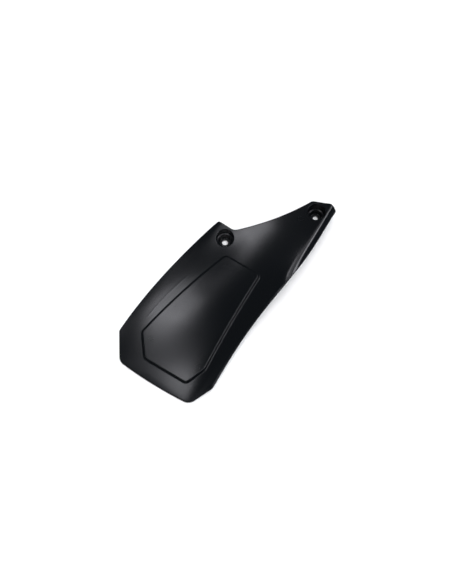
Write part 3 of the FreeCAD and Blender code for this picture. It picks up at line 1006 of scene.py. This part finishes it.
class Wire:
    """A socket of a node tree, with arithmetic that adds Math nodes."""

    def __init__(self, nodes: "Nodes", socket: bpy.types.NodeSocket | None) -> None:
        """Wraps a socket."""
        self.nodes = nodes
        self.socket = socket

    def _math(self, operation: str, first: "Wire | float", second: "Wire | float") -> "Wire":
        """Adds a Math node."""
        return self.nodes.node("ShaderNodeMath", {"operation": operation}, {0: first, 1: second})

    def __add__(self, other: "Wire | float") -> "Wire":
        """Adds a value."""
        return self._math("ADD", self, other)

    __radd__ = __add__

    def __sub__(self, other: "Wire | float") -> "Wire":
        """Takes a value away."""
        return self._math("SUBTRACT", self, other)

    def __rsub__(self, other: "Wire | float") -> "Wire":
        """Takes this away from a value."""
        return self._math("SUBTRACT", other, self)

    def __mul__(self, other: "Wire | float") -> "Wire":
        """Multiplies by a value."""
        return self._math("MULTIPLY", self, other)

    __rmul__ = __mul__

    def __truediv__(self, other: "Wire | float") -> "Wire":
        """Divides by a value."""
        return self._math("DIVIDE", self, other)

    def __rtruediv__(self, other: "Wire | float") -> "Wire":
        """Divides a value by this."""
        return self._math("DIVIDE", other, self)


class Nodes:
    """A node tree that is filled one node at a time."""

    # Numbers of a Mix node's share and colour sockets
    MIX_SHARE = 0
    MIX_FIRST = 6
    MIX_SECOND = 7
    MIX_RESULT = 2

    def __init__(self, tree: bpy.types.NodeTree) -> None:
        """Starts from an empty tree."""
        self.tree = tree
        self.tree.nodes.clear()

    def node(self, kind: str, settings: dict | None = None, inputs: dict | None = None,
             output: int | str = 0) -> Wire:
        """Adds a node.

        Args:
            kind: Type of the node.
            settings: Its own properties, set first.
            inputs: Values or wires of its sockets, by name or number.
            output: Socket that the wire leaves from.

        Returns:
            A wire from the node.
        """
        made = self.tree.nodes.new(kind)
        for name, value in (settings or {}).items():
            setattr(made, name, value)
        for name, value in (inputs or {}).items():
            if isinstance(value, Wire):
                self.tree.links.new(value.socket, made.inputs[name])
            else:
                made.inputs[name].default_value = value
        return Wire(self, made.outputs[output]) if made.outputs else Wire(self, None)

    def blend(self, share: Wire, first: Wire | tuple[float, ...], second: Wire | tuple[float, ...]) -> Wire:
        """A colour between two others."""
        inputs = {self.MIX_SHARE: share, self.MIX_FIRST: first, self.MIX_SECOND: second}
        return self.node("ShaderNodeMix", {"data_type": "RGBA"}, inputs, self.MIX_RESULT)

    def ramp(self, value: Wire, none: float, full: float) -> Wire:
        """A smooth change from zero at one value to one at another."""
        return self.node("ShaderNodeMapRange", {"interpolation_type": "SMOOTHSTEP"},
                         {"Value": value, "From Min": none, "From Max": full})


class Shader(Nodes):
    """A material's node tree."""

    def __init__(self, name: str) -> None:
        """Starts an empty material.

        Args:
            name: Name of the material.
        """
        self.material = bpy.data.materials.new(name)
        self.material.use_nodes = True
        super().__init__(self.material.node_tree)


class Layout(Nodes):
    """A geometry tree with named inputs, which works on the points of one object."""

    def __init__(self, name: str) -> None:
        """Starts a tree that takes and gives geometry.

        Args:
            name: Name of the tree.
        """
        super().__init__(bpy.data.node_groups.new(name, "GeometryNodeTree"))
        self.values: dict[str, float | int | bpy.types.Material] = {}
        for way in ("INPUT", "OUTPUT"):
            self.tree.interface.new_socket("Geometry", in_out=way, socket_type="NodeSocketGeometry")
        self._source = self.tree.nodes.new("NodeGroupInput")

    def points(self) -> Wire:
        """The geometry that the tree starts from."""
        return Wire(self, self._source.outputs["Geometry"])

    def size(self, name: str, kind: str, value: float | int | bpy.types.Material) -> Wire:
        """Adds a named input.

        Args:
            name: Name of the input.
            kind: Type of its socket.
            value: What the modifier sets it to.

        Returns:
            A wire from the input.
        """
        socket = self.tree.interface.new_socket(name, in_out="INPUT", socket_type=kind)
        self.values[socket.identifier] = value
        return Wire(self, self._source.outputs[name])

    def apply(self, piece: bpy.types.Object, shape: Wire, material: Wire) -> None:
        """Ends the tree and turns its result into the piece's own mesh.

        Args:
            piece: Object whose points the tree works on.
            shape: Instances that the tree has made.
            material: Finish of the result.
        """
        whole = self.node("GeometryNodeRealizeInstances", inputs={0: shape})
        dressed = self.node("GeometryNodeSetMaterial", inputs={"Geometry": whole, "Material": material})
        self.node("NodeGroupOutput", inputs={0: dressed})
        modifier = piece.modifiers.new(self.tree.name, "NODES")
        modifier.node_group = self.tree
        for identifier, value in self.values.items():
            modifier[identifier] = value
        seen = piece.evaluated_get(bpy.context.evaluated_depsgraph_get())
        piece.data = bpy.data.meshes.new_from_object(seen)
        piece.modifiers.clear()
        piece.data.shade_smooth()


@dataclass(frozen=True)
class Mark:
    """Place of one ejector pin's mark on the plan, in mm."""

    across: float
    along: float
    on_panel: bool


@dataclass
class EjectorMarks:
    """Fine round lines that the mould's ejector pins leave on the front, in mm."""

    skin: DishedSkin
    marks: tuple[Mark, ...]
    panel_step: float
    radius: float = 2.6
    line: float = 0.2
    sides: int = 48
    line_sides: int = 6

    def build(self, material: bpy.types.Material) -> bpy.types.Object:
        """Builds all the marks as one piece.

        Args:
            material: Finish of the plastic.

        Returns:
            The marks' object.
        """
        places = self.skin.domain(np.array([(mark.across, mark.along) for mark in self.marks]))
        points, normals, _, _ = self.skin.frame_at(places)
        lifts = np.array([[self.panel_step if mark.on_panel else 0.0] for mark in self.marks])
        mesh = bpy.data.meshes.new("ejector_marks")
        mesh.from_pydata(((points + lifts * normals) * MM).tolist(), [], [])
        mesh.attributes.new("facing", "FLOAT_VECTOR", "POINT").data.foreach_set("vector", normals.ravel())
        piece = bpy.data.objects.new("ejector_marks", mesh)
        bpy.context.scene.collection.objects.link(piece)
        layout = Layout("ejector_rings")
        radius = layout.size("Ring radius", "NodeSocketFloat", self.radius * MM)
        line = layout.size("Line radius", "NodeSocketFloat", self.line * MM)
        sides = layout.size("Ring sides", "NodeSocketInt", self.sides)
        line_sides = layout.size("Line sides", "NodeSocketInt", self.line_sides)
        finish = layout.size("Finish", "NodeSocketMaterial", material)
        circle = layout.node("GeometryNodeCurvePrimitiveCircle", inputs={"Resolution": sides, "Radius": radius})
        section = layout.node("GeometryNodeCurvePrimitiveCircle", inputs={"Resolution": line_sides, "Radius": line})
        ring = layout.node("GeometryNodeCurveToMesh", inputs={"Curve": circle, "Profile Curve": section})
        facing = layout.node("GeometryNodeInputNamedAttribute", {"data_type": "FLOAT_VECTOR"}, {"Name": "facing"})
        turned = layout.node("FunctionNodeAlignRotationToVector", {"axis": "Z"}, {"Vector": facing})
        rings = layout.node("GeometryNodeInstanceOnPoints",
                            inputs={"Points": layout.points(), "Instance": ring, "Rotation": turned})
        layout.apply(piece, rings, finish)
        return piece


@dataclass(frozen=True)
class SatinPlastic:
    """Satin black moulded plastic, in metres.

    It has a fine grain, faint clouding and scuffs, rougher steep walls, and a fine crease on the left border.
    """

    colour: tuple[float, float, float] = (0.0066, 0.0086, 0.0106)
    pale_share: float = 1.35
    ior: float = 1.5
    roughness: float = 0.15
    noise_mean: float = 0.5
    clouding: float = 0.03
    cloud_scale: float = 28.0
    cloud_detail: float = 3.0
    scuff: float = 0.02
    scuff_scale: float = 360.0
    scuff_detail: float = 4.0
    scuff_turn: float = 0.5
    scuff_stretch: float = 0.12
    grain_scale: float = 1900.0
    grain_detail: float = 2.0
    grain_depth: float = 0.0000004
    wall_roughness: float = 0.3
    wall_span: tuple[float, float] = (0.5, 0.2)
    crease_centre: tuple[float, float, float] = (0.2237, -0.1247, 0.0)
    crease_radius: float = 0.2440
    crease_width: float = 0.0007
    crease_height: float = 0.000018
    crease_span: tuple[float, float, float, float] = (-0.122, -0.112, -0.070, -0.045)

    def material(self) -> bpy.types.Material:
        """Builds the finish.

        Returns:
            The material.
        """
        shader = Shader("satin_black_plastic")
        place = shader.node("ShaderNodeTexCoord", output="Object")
        stretched = shader.node("ShaderNodeMapping", {"vector_type": "POINT"}, {
            "Vector": place, "Rotation": (0.0, 0.0, self.scuff_turn), "Scale": (1.0, self.scuff_stretch, 1.0)})
        clouds = self._noise(shader, place, self.cloud_scale, self.cloud_detail)
        scuffs = self._noise(shader, stretched, self.scuff_scale, self.scuff_detail)
        grain = self._noise(shader, place, self.grain_scale, self.grain_detail)
        cloudy = (clouds - self.noise_mean) * self.clouding
        scuffed = (scuffs - self.noise_mean) * self.scuff
        roughness = self.roughness + cloudy + scuffed + self._walls(shader) * self.wall_roughness
        pale = tuple(self.pale_share * part for part in self.colour)
        tint = shader.blend(clouds, (*self.colour, 1.0), (*pale, 1.0))
        relief = grain * self.grain_depth + self._crease(shader, place) * self.crease_height
        bump = shader.node("ShaderNodeBump", inputs={"Height": relief, "Distance": 1.0, "Strength": 1.0})
        surface = shader.node("ShaderNodeBsdfPrincipled", inputs={
            "Base Color": tint, "Roughness": roughness, "Normal": bump, "IOR": self.ior})
        shader.node("ShaderNodeOutputMaterial", inputs={"Surface": surface})
        return shader.material

    @staticmethod
    def _noise(shader: Shader, place: Wire, scale: float, detail: float) -> Wire:
        """A noise pattern on coordinates."""
        return shader.node("ShaderNodeTexNoise", inputs={"Vector": place, "Scale": scale, "Detail": detail})

    def _walls(self, shader: Shader) -> Wire:
        """Tells steep walls from level faces.

        Args:
            shader: Tree to add to.

        Returns:
            A wire that is one on steep walls and nothing on level faces.
        """
        normal = shader.node("ShaderNodeNewGeometry", output="Normal")
        upright = shader.node("ShaderNodeSeparateXYZ", inputs={0: normal}, output="Z")
        return shader.ramp(upright, *self.wall_span)

    def _crease(self, shader: Shader, place: Wire) -> Wire:
        """The crease's ridge: one on its arc, falling to nothing beside it and at both ends.

        Args:
            shader: Tree to add to.
            place: Object coordinates.

        Returns:
            A wire with the ridge's share.
        """
        level = shader.node("ShaderNodeVectorMath", {"operation": "MULTIPLY"}, {0: place, 1: (1.0, 1.0, 0.0)})
        arm = shader.node("ShaderNodeVectorMath", {"operation": "DISTANCE"},
                          {0: level, 1: self.crease_centre}, "Value")
        beside = (arm - self.crease_radius) / self.crease_width
        along_y = shader.node("ShaderNodeSeparateXYZ", inputs={0: place}, output="Y")
        start, full, fading, end = self.crease_span
        ends = shader.ramp(along_y, start, full) * shader.ramp(along_y, end, fading)
        return ends / (1.0 + beside * beside)


@dataclass(frozen=True)
class SoftLight:
    """An oblong soft light that faces the flap from the way given, in metres and watts."""

    name: str
    way: tuple[float, float, float]
    width: float
    height: float
    power: float
    distance: float = 6.0
    only_floor: bool = False
    colour: tuple[float, float, float] = (0.98, 0.98, 1.04)

    def build(self, target: Vector, floor: bpy.types.Object) -> None:
        """Adds the light, with its width level along X.

        Args:
            target: Point that it faces.
            floor: The floor, for a light that falls on nothing else.
        """
        light = bpy.data.lights.new(self.name, "AREA")
        light.shape = "RECTANGLE"
        light.size = self.width
        light.size_y = self.height
        light.energy = self.power
        light.color = self.colour
        lamp = bpy.data.objects.new(self.name, light)
        toward = Vector(self.way).normalized()
        lamp.location = target + toward * self.distance
        up = toward.cross(Vector((1.0, 0.0, 0.0))).normalized()
        lamp.rotation_euler = Matrix((up.cross(toward), up, toward)).transposed().to_euler()
        bpy.context.scene.collection.objects.link(lamp)
        if self.only_floor:
            lamp.light_linking.receiver_collection = bpy.data.collections.new(self.name)
            lamp.light_linking.receiver_collection.objects.link(floor)


@dataclass(frozen=True)
class Studio:
    """Plain pale floor, soft light and the photograph's camera, in metres."""

    eye: tuple[float, float, float] = (0.22316, -0.33515, 0.83149)
    target: tuple[float, float, float] = (0.03306, -0.04795, 0.0)
    lens_mm: float = 51.37
    floor_size: float = 6.0
    floor_glow: float = 0.15
    floor_grey: float = 0.8
    floor_roughness: float = 0.9
    sky: tuple[float, float, float] = (0.08, 0.088, 0.101)
    horizon: tuple[float, float, float] = (0.13, 0.134, 0.142)
    sky_span: tuple[float, float] = (0.05, 0.3)
    lights: tuple[SoftLight, ...] = (
        SoftLight("key", (-0.165, 0.29, 0.943), 0.54, 0.9, 7.2),
        SoftLight("key_low", (-0.173, 0.168, 0.97), 0.48, 0.8, 5.2),
        SoftLight("key_wing", (-0.073, 0.175, 0.982), 0.6, 1.5, 4.2),
        SoftLight("strip", (0.0, 0.375, 0.927), 1.4, 1.1, 6.0),
        SoftLight("front", (-0.14, 0.01, 0.99), 1.0, 0.6, 1.9),
        SoftLight("fold_light", (0.29, 0.44, 0.85), 1.3, 0.8, 21.0),
        SoftLight("line_light", (0.42, 0.25, 0.872), 0.9, 0.7, 24.0),
        SoftLight("floor_light", (-0.08, 0.05, 0.995), 9.0, 9.0, 335.0, distance=3.0, only_floor=True,
                  colour=WHITE[:3]),
    )

    def build(self) -> None:
        """Adds the floor, the lights, the surroundings and the camera."""
        floor = self._floor()
        for light in self.lights:
            light.build(Vector(self.target), floor)
        self._surroundings()
        bpy.context.scene.view_settings.view_transform = "Standard"
        self._camera()

    def _surroundings(self) -> None:
        """Adds a dim sky that is paler towards the horizon, and white where nothing else is seen."""
        world = bpy.data.worlds.new("studio")
        bpy.context.scene.world = world
        world.use_nodes = True
        sky = Nodes(world.node_tree)
        way = sky.node("ShaderNodeTexCoord", output="Generated")
        height = sky.node("ShaderNodeSeparateXYZ", inputs={0: way}, output="Z")
        overhead = sky.ramp(height, *self.sky_span)
        glow = sky.blend(overhead, (*self.horizon, 1.0), (*self.sky, 1.0))
        seen = sky.node("ShaderNodeLightPath", output="Is Camera Ray")
        surface = sky.node("ShaderNodeBackground", inputs={"Color": sky.blend(seen, glow, WHITE)})
        sky.node("ShaderNodeOutputWorld", inputs={"Surface": surface})

    def _floor(self) -> bpy.types.Object:
        """Adds a pale floor at the flap's feet.

        Returns:
            The floor's object.
        """
        half = self.floor_size / 2.0
        mesh = bpy.data.meshes.new("floor")
        corners = [(-half, -half, 0.0), (half, -half, 0.0), (half, half, 0.0), (-half, half, 0.0)]
        mesh.from_pydata(corners, [], [(0, 1, 2, 3)])
        floor = bpy.data.objects.new("floor", mesh)
        bpy.context.scene.collection.objects.link(floor)
        shader = Shader("pale_floor")
        grey = (self.floor_grey, self.floor_grey, self.floor_grey, 1.0)
        surface = shader.node("ShaderNodeBsdfPrincipled", inputs={
            "Base Color": grey, "Roughness": self.floor_roughness, "Emission Color": WHITE,
            "Emission Strength": self.floor_glow})
        shader.node("ShaderNodeOutputMaterial", inputs={"Surface": surface})
        mesh.materials.append(shader.material)
        return floor

    def _camera(self) -> None:
        """The camera at the photograph's angle."""
        data = bpy.data.cameras.new("camera")
        data.lens = self.lens_mm
        camera = bpy.data.objects.new("camera", data)
        eye, target = Vector(self.eye), Vector(self.target)
        camera.location = eye
        camera.rotation_euler = (target - eye).to_track_quat("-Z", "Y").to_euler()
        bpy.context.scene.collection.objects.link(camera)
        bpy.context.scene.camera = camera


STATIONS = (
    Station(along=-183.1, left=-34.0, floor=1.6, left_rise=0.7, roll=0.0, border=16.0, crease=0.7, right=82.6,
            right_rise=0.5, inner_rise=0.2, outer_rise=0.6, fold=0.0, lip=4.0),
    Station(along=-125.0, left=-39.5, floor=1.6, left_rise=1.4, roll=0.0, border=19.5, crease=1.1, right=80.0,
            right_rise=3.3, inner_rise=0.8, outer_rise=2.3, fold=0.0, lip=4.0),
    Station(along=-72.0, left=-36.5, floor=2.9, left_rise=1.5, roll=0.0, border=23.0, crease=1.2, right=79.1,
            right_rise=7.5, inner_rise=2.7, outer_rise=5.0, fold=0.0, lip=4.0),
    Station(along=-22.0, left=-28.5, floor=9.9, left_rise=0.0, roll=0.5, border=27.0, crease=-0.4, right=83.3,
            right_rise=7.2, inner_rise=3.1, outer_rise=4.7, fold=0.0, lip=4.0),
    Station(along=16.0, left=-20.0, floor=14.4, left_rise=3.4, roll=2.5, border=18.0, crease=0.8, right=86.8,
            right_rise=3.5, inner_rise=2.4, outer_rise=2.9, fold=2.4, lip=4.5),
    Station(along=60.0, left=-10.0, floor=16.3, left_rise=6.7, roll=0.0, border=16.0, crease=2.8, right=86.6,
            right_rise=2.5, inner_rise=1.0, outer_rise=1.7, fold=4.8, lip=5.0),
    Station(along=106.0, left=2.0, floor=17.0, left_rise=8.0, roll=0.0, border=16.0, crease=4.0, right=85.3,
            right_rise=2.3, inner_rise=1.0, outer_rise=1.6, fold=8.4, lip=4.5),
)

CUPS = (
    ScrewCup(across=0.0, along=0.0, bore=6.5, rim_round=1.0),
    ScrewCup(across=UPPER_ACROSS, along=UPPER_ALONG, bore=5.5, rim_round=0.8),
)

MARKS = (
    Mark(across=57.3, along=64.1, on_panel=False),
    Mark(across=-2.1, along=-137.4, on_panel=True),
    Mark(across=55.8, along=-135.9, on_panel=True),
)


def main() -> None:
    """Builds the flap, its finish and its studio."""
    logging.basicConfig(level=logging.INFO, format="%(name)s: %(message)s")
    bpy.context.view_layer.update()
    plastic = SatinPlastic().material()
    skin = DishedSkin(STATIONS)
    panel = Panel()
    flap = MudFlap(skin, Plan(), panel, CUPS).build(plastic)
    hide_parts(NODE)
    marks = EjectorMarks(skin, MARKS, panel.step).build(plastic)
    for piece in (flap, marks):
        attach(piece, BODY)
        LOG.info("%s: %d faces", piece.name, len(piece.data.polygons))
    Studio().build()


if __name__ == "__main__":
    main()
